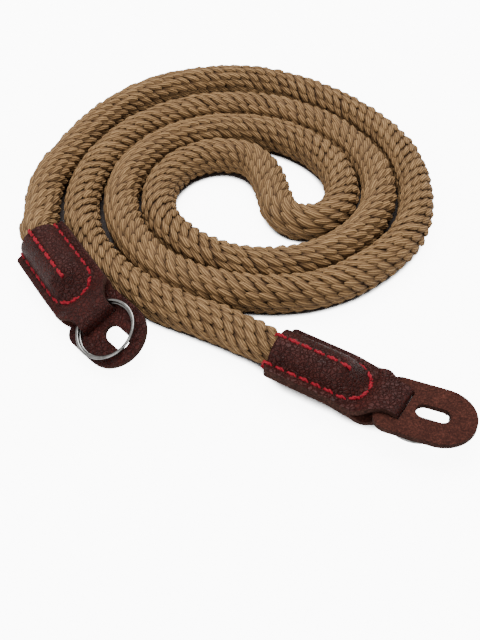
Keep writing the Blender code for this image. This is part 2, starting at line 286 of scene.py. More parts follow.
def map_range(tree, value, given, wanted=(0.0, 1.0), ease="LINEAR"):
    """Maps a value from one range of numbers to another, and holds it there."""
    return add_node(tree, "ShaderNodeMapRange", {
        "Value": value, "From Min": given[0], "From Max": given[1],
        "To Min": wanted[0], "To Max": wanted[1]}, interpolation_type=ease).outputs["Result"]


def noise_node(tree, vector, scale, **values):
    return add_node(tree, "ShaderNodeTexNoise", {"Vector": vector, "Scale": scale, **values}).outputs


def geometry_tree(name, inputs, output):
    """A Geometry Nodes tree with named inputs."""
    tree = bpy.data.node_groups.new(name, "GeometryNodeTree")
    for label, kind, value in inputs:
        socket = tree.interface.new_socket(label, in_out="INPUT", socket_type="NodeSocket" + kind)
        if value is not None:
            socket.default_value = value
    tree.interface.new_socket(output, in_out="OUTPUT", socket_type="NodeSocketGeometry")
    return tree, tree.nodes.new("NodeGroupInput").outputs


def finish_tree(tree, geometry, material):
    painted = add_node(tree, "GeometryNodeSetMaterial", {"Geometry": geometry, "Material": material})
    tree.links.new(painted.outputs[0], tree.nodes.new("NodeGroupOutput").inputs[0])
    return tree


# %% [markdown]
# ## One stitch of the braid
#
# The braid is made of short leaf-shaped stitches of untwisted yarn. Each leans across the
# rope, bulges in its middle and dives under its neighbour at both ends. One leaf is built
# here from a few sections, because the braid repeats it thousands of times. Its UV map
# runs along the yarn and across it, for the fine lines of the filaments.

# %% Build the leaf
LEAF_LENGTH = 6.7 * MM
LEAF_WIDTH = 2.15 * MM
LEAF_HEIGHT = 1.05 * MM
# Along the leaf: how far, how wide and how high, as shares of its three sizes.
LEAF_SECTIONS = [
    (-0.44, 0.40, 0.10), (-0.24, 0.78, 0.50), (0.0, 0.98, 0.80),
    (0.20, 1.0, 1.0), (0.37, 0.78, 0.98), (0.47, 0.42, 0.58),
]
# Round a section: across and up, as shares of its half width and its height.
LEAF_ROUND = [(-1.0, 0.0), (-0.78, 0.68), (0.0, 1.0), (0.78, 0.68), (1.0, 0.0)]
LEAF_TIP_RISE = 0.1 * LEAF_HEIGHT


def build_leaf():
    count = len(LEAF_ROUND)
    vertices = []
    for along, wide, high in LEAF_SECTIONS:
        for across, up in LEAF_ROUND:
            y, z = across * wide * LEAF_WIDTH / 2, up * high * LEAF_HEIGHT
            vertices.append((along * LEAF_LENGTH, y, z))
    faces = loft_faces(len(LEAF_SECTIONS), count, caps=False)
    ends = ((-0.5, 0), (0.5, (len(LEAF_SECTIONS) - 1) * count))
    for along, start in ends:
        vertices.append((along * LEAF_LENGTH, 0.0, LEAF_TIP_RISE))
        tip = len(vertices) - 1
        faces += [(start + i, start + (i + 1) % count, tip) for i in range(count)]
    return yarn_piece("leaf", vertices, faces,
                      lambda x, y, z: (x / LEAF_LENGTH + 0.5, y / LEAF_WIDTH + 0.5))


leaf = build_leaf()
print("a stitch has", sum(len(p.vertices) - 2 for p in leaf.data.polygons), "triangles")

# %% [markdown]
# ## The braid, with Geometry Nodes
#
# The stitches sit in staggered rows round the rope. They are laid out flat first, with X
# along the rope and Y round it, and the whole sheet is then wrapped on the route: each
# vertex reads the curve at its own distance and turns about it by its own angle. So the
# stitches spread on the outside of a bend and crowd on its inside, as real yarn does.

# %% Lay the stitches out flat
BRAID_PITCH = 3.55 * MM
BRAID_ROWS = 12
BRAID_LEAN = -26.0
BRAID_SEED = 4
# How much a stitch turns, in radians, and its least and greatest size, along X, Y and Z.
LEAF_TURN = (0.08, 0.07, 0.15)
LEAF_SIZES = (0.92, 0.88, 0.82), (1.08, 1.1, 1.1)
CORE_RADIUS = 4.35 * MM
CORE_SIDES = 12
NECK_LENGTH = 7.0 * MM
ROPE_SQUEEZE = 0.9 * MM
REST_HEIGHT = 0.02 * MM


def lay_flat(tree, given, length):
    """The flat sheet of stitches, X along the rope and Y round it, with a tint for each."""
    node, sums = partial(add_node, tree), partial(math_node, tree)
    along_count = sums("ROUND", sums("DIVIDE", length, given["Pitch"]))
    pitch = sums("DIVIDE", length, along_count)
    total = sums("MULTIPLY", along_count, given["Rows"])
    index = node("GeometryNodeInputIndex").outputs[0]
    row = sums("MODULO", index, given["Rows"])
    step = sums("FLOOR", sums("DIVIDE", index, given["Rows"]))
    stagger = sums("MULTIPLY", sums("MODULO", row, 2.0), 0.5)
    x = sums("MULTIPLY", sums("ADD", sums("ADD", step, stagger), 0.25), pitch)
    row_angle = sums("DIVIDE", 2 * math.pi, given["Rows"])
    # In the flat sheet Y is the angle times the radius, so the leaves keep their shape.
    y = sums("MULTIPLY", sums("MULTIPLY", row, row_angle), given["Radius"])
    place = node("ShaderNodeCombineXYZ", {0: x, 1: y})
    points = node("GeometryNodePoints", {"Count": total, "Position": place.outputs[0]})

    seeds = [given["Seed"], sums("ADD", given["Seed"], 1), sums("ADD", given["Seed"], 2)]
    wobble = node("FunctionNodeRandomValue", {
        0: tuple(-v for v in LEAF_TURN), 1: LEAF_TURN, "Seed": seeds[0]}, data_type="FLOAT_VECTOR")
    lean = node("ShaderNodeCombineXYZ", {2: sums("RADIANS", given["Lean"])})
    turn = vector_node(tree, "ADD", lean.outputs[0], wobble.outputs[0])
    size = node("FunctionNodeRandomValue", {
        0: LEAF_SIZES[0], 1: LEAF_SIZES[1], "Seed": seeds[1]}, data_type="FLOAT_VECTOR")
    source = node("GeometryNodeObjectInfo", {"Object": given["Leaf"], "As Instance": True})
    leaves = node("GeometryNodeInstanceOnPoints", {
        "Points": points.outputs[0], "Instance": source.outputs["Geometry"],
        "Rotation": turn, "Scale": size.outputs[0]})
    tint = node("FunctionNodeRandomValue", {"Seed": seeds[2]}, data_type="FLOAT")
    tinted = node("GeometryNodeStoreNamedAttribute", {
        "Geometry": leaves.outputs[0], "Name": "tint", "Value": tint.outputs[1]},
        data_type="FLOAT", domain="INSTANCE")
    return node("GeometryNodeRealizeInstances", {0: tinted.outputs[0]}).outputs[0]


print("a row has a stitch every", round(BRAID_PITCH / MM, 2), "mm, and there are", BRAID_ROWS, "rows")

# %% [markdown]
# ## Wrapping the sheet on a curve
#
# A Curve to Mesh node would sweep one section and lose the stitches. Here each vertex asks
# the curve for its place, its tangent and its normal at the vertex's own distance, and goes
# out from there. What would end below the table is pressed flat on it, as soft rope is.

# %% Wrap the stitches on the route
def wrap(tree, given, route, length, sheet):
    """The sheet turned about the route, with its heights stored and pressed on the table."""
    node, sums, vectors = (partial(maker, tree) for maker in (add_node, math_node, vector_node))
    position = node("GeometryNodeInputPosition").outputs[0]
    where = node("ShaderNodeSeparateXYZ", {0: position}).outputs
    lifted = node("GeometryNodeStoreNamedAttribute", {
        "Geometry": sheet, "Name": "height", "Value": sums("DIVIDE", where[2], LEAF_HEIGHT)},
        data_type="FLOAT", domain="POINT")
    at = sums("MINIMUM", sums("MAXIMUM", where[0], 0.0), length)
    reader = node("GeometryNodeSampleCurve", {
        "Curves": route, "Length": at, "Value": node("GeometryNodeInputRadius").outputs[0]},
        mode="LENGTH", data_type="FLOAT")
    tangent, normal = reader.outputs["Tangent"], reader.outputs["Normal"]
    side = vectors("CROSS_PRODUCT", normal, tangent)
    angle = sums("DIVIDE", where[1], given["Radius"])
    shrink = sums("SUBTRACT", reader.outputs["Value"], given["Radius"])
    reach = sums("ADD", sums("ADD", given["Radius"], where[2]), shrink)
    forth = vectors("SCALE", normal, scale=sums("MULTIPLY", sums("COSINE", angle), reach))
    across = vectors("SCALE", side, scale=sums("MULTIPLY", sums("SINE", angle), reach))
    offset = vectors("ADD", forth, across)
    home = vectors("ADD", reader.outputs["Position"], offset)
    parts = node("ShaderNodeSeparateXYZ", {0: home}).outputs
    resting = node("ShaderNodeCombineXYZ", {
        0: parts[0], 1: parts[1], 2: sums("MAXIMUM", parts[2], REST_HEIGHT)})
    return node("GeometryNodeSetPosition", {
        "Geometry": lifted.outputs[0], "Position": resting.outputs[0]}).outputs[0]


def braid_tree():
    tree, given = geometry_tree("braid", (
        ("Route", "Object", None), ("Leaf", "Object", None), ("Pitch", "Float", BRAID_PITCH),
        ("Rows", "Int", BRAID_ROWS), ("Radius", "Float", CORE_RADIUS), ("Lean", "Float", BRAID_LEAN),
        ("Seed", "Int", BRAID_SEED), ("Material", "Material", None)), "Braid")
    node = partial(add_node, tree)
    route = node("GeometryNodeObjectInfo", {"Object": given["Route"]}).outputs["Geometry"]
    length = node("GeometryNodeCurveLength", {0: route}).outputs["Length"]
    wrapped = wrap(tree, given, route, length, lay_flat(tree, given, length))
    # The core that shows between the stitches. It stores no height, so the yarn's painted shade colours
    # it dark.
    circle = node("GeometryNodeCurvePrimitiveCircle", {"Resolution": CORE_SIDES, "Radius": 1.0})
    core = node("GeometryNodeCurveToMesh", {
        "Curve": route, "Profile Curve": circle.outputs[0], "Fill Caps": True,
        "Scale": node("GeometryNodeInputRadius").outputs[0]})
    joined = node("GeometryNodeJoinGeometry")
    tree.links.new(core.outputs[0], joined.inputs[0])
    tree.links.new(wrapped, joined.inputs[0])
    return finish_tree(tree, joined.outputs[0], given["Material"])


tree = braid_tree()
print("the braid's tree has", len(tree.nodes), "nodes")

# %% [markdown]
# ## Yarn and leather patterns that the finishes share
#
# Three small shader groups hold what the finishes are made of. One draws leather grain, one
# gives slow cloudy changes of tone, and one turns a UV map into the lines of single
# filaments. Each puts out only a value, so every material still mixes its own colours.

# %% Build the shared shader groups
def shader_group(name, inputs, outputs):
    group = bpy.data.node_groups.new(name, "ShaderNodeTree")
    for label, value in inputs.items():
        kind = "NodeSocketVector" if value is None else "NodeSocketFloat"
        socket = group.interface.new_socket(label, in_out="INPUT", socket_type=kind)
        if value is not None:
            socket.default_value = value
    for label in outputs:
        group.interface.new_socket(label, in_out="OUTPUT", socket_type="NodeSocketFloat")
    given = group.nodes.new("NodeGroupInput").outputs
    return group, given, group.nodes.new("NodeGroupOutput").inputs


def leather_grain_group():
    """Pebbles and wrinkles with creases between them: Height for a bump, Crease as a mask."""
    group, given, result = shader_group(
        "leather grain", {"Vector": None, "Pebbles per metre": 1500.0, "Roughness of shape": 0.6},
        ("Height", "Crease"))
    sums = partial(math_node, group)

    def noise(vector, share, **values):
        scale = sums("MULTIPLY", given["Pebbles per metre"], share)
        return noise_node(group, vector, scale, **values)

    bent = noise(given["Vector"], 0.4, Detail=3.0)["Color"]
    push = vector_node(group, "SCALE", bent, scale=0.9 * MM)
    moved = vector_node(group, "ADD", given["Vector"], push)
    cells = add_node(group, "ShaderNodeTexVoronoi", {
        "Vector": moved, "Scale": given["Pebbles per metre"]}, feature="DISTANCE_TO_EDGE")
    crease = map_range(group, cells.outputs["Distance"], (0.0, 0.16), (1.0, 0.0), "SMOOTHSTEP")
    fine = noise(given["Vector"], 2.2, Detail=4.0, Roughness=given["Roughness of shape"])["Fac"]
    # Wrinkles run where a slow noise passes through its middle value.
    slow = noise(moved, 0.5, Detail=2.0, Distortion=0.8)["Fac"]
    from_middle = sums("ABSOLUTE", sums("SUBTRACT", slow, 0.5))
    wrinkle = map_range(group, from_middle, (0.0, 0.03), (1.0, 0.0), "SMOOTHSTEP")
    lines = sums("MAXIMUM", sums("MULTIPLY", crease, 0.7), wrinkle)
    height = sums("SUBTRACT", sums("MULTIPLY", fine, 0.35), lines)
    group.links.new(height, result["Height"])
    group.links.new(lines, result["Crease"])
    return group


def cloud_group():
    """Slow changes of tone, from 0 to 1."""
    group, given, result = shader_group(
        "cloudy tone", {"Vector": None, "Patches per metre": 120.0, "Contrast": 1.0}, ("Tone",))
    sums = partial(math_node, group)
    noise = noise_node(group, given["Vector"], given["Patches per metre"], Detail=5.0, Roughness=0.6)
    centred = sums("SUBTRACT", noise["Fac"], 0.5)
    spread = sums("MULTIPLY", centred, sums("MULTIPLY", given["Contrast"], 2.0))
    tone = add_node(group, "ShaderNodeMath", {0: spread, 1: 0.5}, operation="ADD", use_clamp=True)
    group.links.new(tone.outputs[0], result["Tone"])
    return group


def filament_group():
    """Fine lines that run along U, spaced across V, with a little wander."""
    group, given, result = shader_group(
        "filaments", {"Vector": None, "Lines across": 9.0, "Wander": 0.35}, ("Height", "Valley"))
    sums = partial(math_node, group)
    parts = add_node(group, "ShaderNodeSeparateXYZ", {0: given["Vector"]})
    centred = sums("SUBTRACT", noise_node(group, given["Vector"], 2.4, Detail=2.0)["Fac"], 0.5)
    wander = sums("MULTIPLY", centred, given["Wander"])
    across = sums("ADD", parts.outputs["Y"], wander)
    turns = sums("MULTIPLY", given["Lines across"], 2 * math.pi)
    wave = sums("SINE", sums("MULTIPLY", across, turns))
    height = sums("ADD", sums("MULTIPLY", wave, 0.5), 0.5)
    depth = sums("SUBTRACT", 1.0, height)
    group.links.new(height, result["Height"])
    group.links.new(sums("POWER", depth, 2.0), result["Valley"])
    return group


GRAIN, CLOUDS, FILAMENTS = leather_grain_group(), cloud_group(), filament_group()
print("groups:", GRAIN.name, CLOUDS.name, FILAMENTS.name)

# %% [markdown]
# ## Short words for making materials
#
# Every finish starts from the Principled shader, a place on the object to read patterns at,
# and a few plain values. Those values go straight on the shader's own sockets, because the
# export can't read them through other nodes. Colours and bumps are mixed and linked.

# %% Define the material helpers
def new_material(name, roughness, **sockets):
    """A material, its tree and the place on the object that patterns read."""
    material = bpy.data.materials.new(name)
    material.use_nodes = True
    tree = material.node_tree
    shader = tree.nodes["Principled BSDF"]
    shader.inputs["Roughness"].default_value = roughness
    for key, value in sockets.items():
        shader.inputs[key.replace("_", " ")].default_value = value
    return material, tree, add_node(tree, "ShaderNodeTexCoord").outputs["Object"]


def place_group(tree, group, vector, **values):
    values = {key.replace("_", " "): value for key, value in values.items()}
    return add_node(tree, "ShaderNodeGroup", {"Vector": vector, **values}, node_tree=group).outputs


def mix_colours(tree, factor, first, second):
    first, second = (c if isinstance(c, bpy.types.NodeSocket) else (*c, 1.0) for c in (first, second))
    return add_node(tree, "ShaderNodeMix", {0: factor, 6: first, 7: second}, data_type="RGBA").outputs[2]


def finish_material(material, height, depth, strength=1.0, **sockets):
    """Gives the material its bump, and links what varies over it to the shader's sockets."""
    tree = material.node_tree
    bump = add_node(tree, "ShaderNodeBump", {"Height": height, "Distance": depth, "Strength": strength})
    for key, value in (sockets | {"Normal": bump.outputs["Normal"]}).items():
        tree.links.new(value, tree.nodes["Principled BSDF"].inputs[key.replace("_", " ")])
    return material


# %% [markdown]
# ## The rope's finish
#
# The yarn is a matt tan, with a painted highlight on the crowns of its filaments. Each stitch
# has its own tint, its low ends are painted dark brown as the shade where they dive under,
# and the filaments run along it with painted shade in the valleys between them. The leaf's
# UV map carries the filaments, and the height stored by the tree places the painted shade in
# the gaps.

# %% Mix the yarn material
def yarn_material():
    material, tree, where = new_material("tan yarn", 0.8, Specular_IOR_Level=0.25)
    uv = add_node(tree, "ShaderNodeUVMap", uv_map="yarn").outputs[0]
    tint = add_node(tree, "ShaderNodeAttribute", attribute_name="tint").outputs["Fac"]
    height = add_node(tree, "ShaderNodeAttribute", attribute_name="height").outputs["Fac"]
    lines = place_group(tree, FILAMENTS, uv, Lines_across=3.5, Wander=0.3)
    clouds = place_group(tree, CLOUDS, where, Patches_per_metre=90.0, Contrast=0.9)
    base = mix_colours(tree, tint, (0.19, 0.104, 0.040), (0.285, 0.165, 0.070))
    cloudy = math_node(tree, "MULTIPLY", clouds["Tone"], 0.5)
    base = mix_colours(tree, cloudy, base, (0.235, 0.132, 0.053))
    # Painted highlight: the crowns of the filaments are mixed towards a light tan.
    painted_crest_highlight = math_node(tree, "MULTIPLY", math_node(tree, "POWER", lines["Height"], 3.0), 0.42)
    lit = mix_colours(tree, painted_crest_highlight, base, (0.45, 0.285, 0.135))
    # Painted shade: the valleys between the filaments are mixed towards dark brown.
    painted_valley_shade = math_node(tree, "MULTIPLY", lines["Valley"], 0.7)
    with_painted_valley_shade = mix_colours(tree, painted_valley_shade, lit, (0.055, 0.026, 0.009))
    # Painted shade: the low ends of each stitch and the core, which has no height, are mixed towards dark
    # brown.
    painted_end_shade = map_range(tree, height, (0.0, 0.85), (1.0, 0.0), "SMOOTHSTEP")
    colour = mix_colours(tree, math_node(tree, "MULTIPLY", painted_end_shade, 0.92), with_painted_valley_shade, (0.036, 0.015, 0.005))
    return finish_material(material, lines["Height"], 0.2 * MM, Base_Color=colour)


YARN = yarn_material()
print("made the material", YARN.name)

# %% [markdown]
# ## Wrap the braid on the route
#
# The route becomes a curve whose points also carry the rope's radius, which is less where
# a tab grips it. The tree runs on an empty mesh, and its result is turned into a plain mesh
# that takes the place of the CAD rope. The route and the leaf are then taken away.

# %% Wrap the rope
def run_tree(tree, name, values):
    """Runs a node tree on an empty mesh and returns its result as a plain mesh object."""
    host = mesh_object(name + " host", [], [])
    modifier = host.modifiers.new(name, "NODES")
    modifier.node_group = tree
    # Inputs are set by the identifiers of their sockets, because names can repeat.
    for item in tree.interface.items_tree:
        if item.item_type == "SOCKET" and item.in_out == "INPUT" and item.name in values:
            modifier[item.identifier] = values[item.name]
    return plain_copy(host, name)


def route_curve(points):
    travelled = np.concatenate([[0], np.cumsum(np.linalg.norm(np.diff(points, axis=0), axis=1))])
    curve = bpy.data.curves.new("route", "CURVE")
    curve.dimensions = "3D"
    curve.twist_mode = "Z_UP"
    spline = curve.splines.new("POLY")
    spline.points.add(len(points) - 1)
    for point, where, done in zip(spline.points, points, travelled):
        inside = min(done, travelled[-1] - done)
        squeeze = ROPE_SQUEEZE * (1 - smooth(ROPE_IN_TAB, ROPE_IN_TAB + NECK_LENGTH, inside))
        point.co = (*where, 1.0)
        point.radius = CORE_RADIUS - squeeze
    return add_object("route", curve)


route = route_curve(line)
rope = run_tree(tree, "braided_rope", {"Route": route, "Leaf": leaf, "Material": YARN})
for helper in (route, leaf):
    bpy.data.objects.remove(helper, do_unlink=True)
finish_piece(rope, "rope")

# %% [markdown]
# ## The leather tabs
#
# Each tab is one leaf-shaped strip of leather, folded at the middle of its length round
# the ring and sewn to itself with the rope's end inside. So it is modelled as one sheet
# that runs from the mouth along the top, round the fold and back underneath, and Solidify
# gives it the thickness of the leather. The sheet is pressed in along the seams.

# %% Shape a tab's sheet
LEATHER = 1.3 * MM
TAB_WIDTH = 16.9 * MM
POCKET_LENGTH = 25.0 * MM
FOLD_LENGTH = 10.2 * MM
FOLD_OPENS = 2.6 * MM
TONGUE_WIDTH = 10.0 * MM
TONGUE_LENGTH = 2.6 * MM
TAPER_LENGTH = 7.5 * MM
CORNER_RADIUS = 1.2 * MM
TAB_LENGTH = POCKET_LENGTH + FOLD_LENGTH
FOLD_HALF = 3.08 * MM
FOLD_REACH = 2.6 * MM
FOLD_EASE = 1.0 * MM
# Powers that shape the hump over the rope and the fold. At 0.5 and 1 both would be elliptic.
HUMP_POWER = 0.6
FOLD_POWER = 0.6


def tab_middle(end, x):
    """Height of the tab's middle at x: level over the rope, then dipping."""
    level = -end["drop"] * MM * smooth(ROPE_IN_TAB, POCKET_LENGTH, x)
    return level - math.tan(math.radians(end["dip"])) * max(x - POCKET_LENGTH, 0.0)


def tab_half_width(x):
    straight_end = TAB_LENGTH - TONGUE_LENGTH
    narrowing = smooth(straight_end - TAPER_LENGTH, straight_end, x)
    half = TAB_WIDTH / 2 + (TONGUE_WIDTH - TAB_WIDTH) / 2 * narrowing
    if x < CORNER_RADIUS:
        half -= CORNER_RADIUS - math.sqrt(CORNER_RADIUS ** 2 - (CORNER_RADIUS - x) ** 2)
    return half


def leaf_height(x, y):
    """Outside of the upper leaf above the tab's middle."""
    opening = smooth(POCKET_LENGTH - FOLD_EASE, POCKET_LENGTH + FOLD_OPENS + FOLD_EASE, x)
    flank = LEATHER + (FOLD_HALF - LEATHER) * opening
    hump = (HUMP_RADIUS - LEATHER) * (1 - smooth(ROPE_IN_TAB, POCKET_LENGTH, x))
    return flank + hump * max(1 - (y / HUMP_RADIUS) ** 2, 0.0) ** HUMP_POWER


print("the tab at its mouth, in mm:", round(2 * leaf_height(0, 0) / MM, 1), "high")

# %% [markdown]
# ## Where the seams run
#
# The thread pulls soft leather in, which is what makes a seam look sewn and not printed. So
# the seams are drawn before the leather is: one U round the pocket, and one row along its
# middle. The sheet asks them how near they are, and sinks a little along them.

# %% Draw the seams and the sheet
SEAM_SIDE = 6.05 * MM
SEAM_TIP = 25.4 * MM
SEAM_START = 0.4 * MM
MIDDLE_SEAM_END = 18.2 * MM
SEAM_DEPTH = 0.32 * MM
SEAM_SPREAD = 0.55 * MM
# Where the sheet's rows of points lie, in millimetres from the mouth. The first ones lie
# closer together for its round corners.
MOUTH_ROWS = [0.0, 0.15, 0.4, 0.75, 1.2]
NEXT_ROW = 1.8
ROW_STEP = 0.55
FOLD_ROWS = 15
COLUMNS = 33


def seam_lines():
    """The two rows of stitches in plan: a U round the pocket, and one along the middle."""
    bend = SEAM_TIP - SEAM_SIDE
    arch = [(bend + SEAM_SIDE * math.cos(a), SEAM_SIDE * math.sin(a))
            for a in np.linspace(-math.pi / 2, math.pi / 2, 17)]
    rim = [(SEAM_START, -SEAM_SIDE)] + arch + [(SEAM_START, SEAM_SIDE)]
    return rim, [(SEAM_START, 0.0), (MIDDLE_SEAM_END, 0.0)]


def distance_to(path, x, y):
    best = 1.0
    for (ax, ay), (bx, by) in zip(path, path[1:]):
        dx, dy = bx - ax, by - ay
        t = min(max(((x - ax) * dx + (y - ay) * dy) / (dx * dx + dy * dy), 0.0), 1.0)
        best = min(best, math.hypot(x - ax - t * dx, y - ay - t * dy))
    return best


def pressed_in(x, y):
    """How deep the thread pulls the leather in at this place."""
    near = (distance_to(path, x, y) / SEAM_SPREAD for path in seam_lines())
    return sum(SEAM_DEPTH * math.exp(-distance ** 2) for distance in near)


def surface_point(end, x, y, upper=True):
    sign = 1 if upper else -1
    return Vector((x, y, tab_middle(end, x) + sign * (leaf_height(x, y) - pressed_in(x, y))))


def tab_sheet(name, end):
    """The folded strip as a grid of its outer side, in the tab's own frame."""
    flat = TAB_LENGTH - FOLD_REACH
    along = MOUTH_ROWS + list(np.arange(NEXT_ROW, flat / MM, ROW_STEP))
    across = np.linspace(-1, 1, COLUMNS)
    rows = [[surface_point(end, x * MM, s * tab_half_width(x * MM)) for s in across] for x in along]
    for angle in np.linspace(90, -90, FOLD_ROWS):
        turn = math.radians(angle)
        # A squarish fold, because the two turns of the ring fill it.
        x = flat + FOLD_REACH * abs(math.cos(turn)) ** FOLD_POWER
        z = tab_middle(end, x) + FOLD_HALF * math.copysign(abs(math.sin(turn)) ** FOLD_POWER, turn)
        rows.append([Vector((x, s * tab_half_width(x), z)) for s in across])
    for x in reversed(along):
        rows.append([surface_point(end, x * MM, s * tab_half_width(x * MM), False) for s in across])
    vertices = [point for row in rows for point in row]
    faces = loft_faces(len(rows), len(across), closed=False, caps=False)
    return mesh_object(name, vertices, [tuple(reversed(f)) for f in faces])


for seam in seam_lines():
    print("a seam of", round(sum(math.dist(a, b) for a, b in zip(seam, seam[1:])) / MM, 1), "mm")

# %% [markdown]
# ## The leather's three sides
#
# Cut leather shows three surfaces: the smooth grain side, the brushed flesh side and the
# cut edge between them. The grain has pebbles, wrinkles and slow changes of tone, with
# painted shade in its creases. The flesh side is suede, matt and mottled, with painted shade
# in the hollows of its nap. Solidify gives each its own material slot.

# %% Mix the leather materials
def grain_leather_material():
    material, tree, where = new_material(
        "dark brown grain leather", 0.5, Specular_IOR_Level=0.15)
    grain = place_group(tree, GRAIN, where, Pebbles_per_metre=900.0)
    clouds = place_group(tree, CLOUDS, where, Patches_per_metre=210.0, Contrast=1.3)
    base = mix_colours(tree, clouds["Tone"], (0.025, 0.0038, 0.0026), (0.047, 0.0078, 0.0056))
    # Painted shade: the creases and wrinkles of the grain are mixed towards near black.
    crease = math_node(tree, "MULTIPLY", grain["Crease"], 0.6)
    colour = mix_colours(tree, crease, base, (0.009, 0.0017, 0.0012))
    rough = map_range(tree, clouds["Tone"], (0.0, 1.0), (0.4, 0.55))
    return finish_material(material, grain["Height"], 0.35 * MM, Base_Color=colour, Roughness=rough)


def suede_material(name, dark, light, nap_height):
    """Matt leather with painted shade in the hollows of its nap, and light flecks in it."""
    material, tree, where = new_material(name, 0.95, Specular_IOR_Level=0.15)
    clouds = place_group(tree, CLOUDS, where, Patches_per_metre=260.0, Contrast=1.3)
    nap = noise_node(tree, where, 1900.0, Detail=5.0, Roughness=0.8)["Fac"]
    base = mix_colours(tree, clouds["Tone"], dark, light)
    # Painted shade: where the nap is lowest it is mixed towards a darker tone. The light flecks are the
    # fibres' own colour.
    painted_hollow_shade = map_range(tree, nap, (0.38, 0.56), (0.85, 0.0))
    flecks = map_range(tree, nap, (0.54, 0.72), (0.0, 0.8))
    colour = mix_colours(tree, painted_hollow_shade, base, tuple(c * 0.4 for c in dark))
    colour = mix_colours(tree, flecks, colour, tuple(c * 2.2 for c in light))
    return finish_material(material, nap, nap_height, 0.8, Base_Color=colour)


GRAIN_LEATHER = grain_leather_material()
SUEDE = suede_material(
    "red brown suede", (0.034, 0.0092, 0.0062), (0.062, 0.0185, 0.0125), 0.25 * MM)
CUT_EDGE = suede_material(
    "cut leather edge", (0.028, 0.010, 0.0075), (0.055, 0.022, 0.016), 0.15 * MM)
print("made", GRAIN_LEATHER.name + ",", SUEDE.name, "and", CUT_EDGE.name)

# %% [markdown]
# ## From a sheet to leather
#
# A sheet has no thickness. Solidify grows it inwards from the side that was modelled, and a
# narrow bevel rounds the cut edges, because no leather edge is sharp enough to stay black or
# white in the light. Both are applied by reading the evaluated mesh.

# %% Make the two tabs
TAB_EDGE_ROUND = 0.22 * MM


def leather_sheet(sheet, thickness, name, sides, bevel):
    """Gives a sheet its thickness and soft cut edges, and returns it as a plain mesh."""
    for finish in sides:
        sheet.data.materials.append(finish)
    wall = sheet.modifiers.new("wall", "SOLIDIFY")
    wall.thickness = thickness
    wall.offset = -1.0
    wall.use_even_offset = True
    wall.material_offset = 1
    wall.material_offset_rim = 2
    soft = sheet.modifiers.new("soft edge", "BEVEL")
    soft.width = bevel
    soft.segments = 2
    soft.limit_method = "ANGLE"
    soft.angle_limit = SHARP_ANGLE
    piece = plain_copy(sheet, name)
    piece.data.shade_smooth()
    return piece


for side, end in ENDS.items():
    tab = leather_sheet(tab_sheet("sheet", end), LEATHER, "leather_tab_" + side,
                        (GRAIN_LEATHER, SUEDE, CUT_EDGE), TAB_EDGE_ROUND)
    apply_place(tab, end_matrix(end))
    finish_piece(tab, "end_tab_" + side)

# %% [markdown]
# ## The red stitching
#
# A waxed thread of two twisted plies holds each tab. A stitch is a short arch that dives
# into the leather at both ends, so one is modelled and Geometry Nodes puts it along the
# seam lines, above and below, lying on the leather and pointing along the seam.

# %% Build the stitch and its tree
STITCH_PITCH = 3.3 * MM
STITCH_LENGTH = 3.25 * MM
STITCH_STEPS = 10
ARCH_HEIGHT = 0.62 * MM
ARCH_SUNK = 0.42 * MM
ARCH_POWER = 0.55
THREAD_RADIUS = 0.36 * MM
THREAD_SIDES = 6
# How far a ply runs aside and up from the thread's middle, and how far it twists.
PLY_ASIDE = 0.22 * MM
PLY_UP = 0.16 * MM
PLY_TWIST = 2.2 * math.pi
# A stitch's least and greatest size, along X, Y and Z.
STITCH_SIZES = (0.92, 0.92, 0.9), (1.05, 1.08, 1.05)


def build_stitch():
    vertices, faces = [], []
    for ply in (0.0, math.pi):
        start = len(vertices)
        for i in range(STITCH_STEPS + 1):
            t = i / STITCH_STEPS
            arch = ARCH_HEIGHT * (math.sin(math.pi * t) ** ARCH_POWER) - ARCH_SUNK
            twist = ply + t * PLY_TWIST
            y, z = PLY_ASIDE * math.cos(twist), arch + PLY_UP * math.sin(twist)
            for a in (2 * math.pi * k / THREAD_SIDES for k in range(THREAD_SIDES)):
                side, up = THREAD_RADIUS * math.cos(a), THREAD_RADIUS * math.sin(a)
                vertices.append(((t - 0.5) * STITCH_LENGTH, y + side, z + up))
        faces += [tuple(start + i for i in face) for face in loft_faces(STITCH_STEPS + 1, THREAD_SIDES)]
    return yarn_piece("stitch", vertices, faces, lambda x, y, z: (x / STITCH_LENGTH, (y + z) / MM))


def stitching_tree():
    tree, given = geometry_tree("stitching", (
        ("Seams", "Object", None), ("Stitch", "Object", None), ("Pitch", "Float", None),
        ("Seed", "Int", None), ("Material", "Material", None)), "Stitches")
    node = partial(add_node, tree)
    seams = node("GeometryNodeObjectInfo", {"Object": given["Seams"]}).outputs["Geometry"]
    paths = node("GeometryNodeMeshToCurve", {"Mesh": seams})
    points = node("GeometryNodeCurveToPoints", {
        "Curve": paths.outputs[0], "Length": given["Pitch"]}, mode="LENGTH")
    # The attribute "up" is 1 above the tab and -1 below it, where a stitch hangs head down.
    up = node("ShaderNodeCombineXYZ", {2: node("GeometryNodeInputNamedAttribute", {
        "Name": "up"}, data_type="FLOAT").outputs[0]})
    turn = node("FunctionNodeAxesToRotation", {0: up.outputs[0], 1: points.outputs["Tangent"]},
                primary_axis="Z", secondary_axis="X")
    size = node("FunctionNodeRandomValue", {
        0: STITCH_SIZES[0], 1: STITCH_SIZES[1], "Seed": given["Seed"]}, data_type="FLOAT_VECTOR")
    stitch = node("GeometryNodeObjectInfo", {"Object": given["Stitch"], "As Instance": True})
    placed = node("GeometryNodeInstanceOnPoints", {
        "Points": points.outputs[0], "Instance": stitch.outputs["Geometry"],
        "Rotation": turn.outputs[0], "Scale": size.outputs[0]})
    whole = node("GeometryNodeRealizeInstances", {0: placed.outputs[0]})
    return finish_tree(tree, whole.outputs[0], given["Material"])


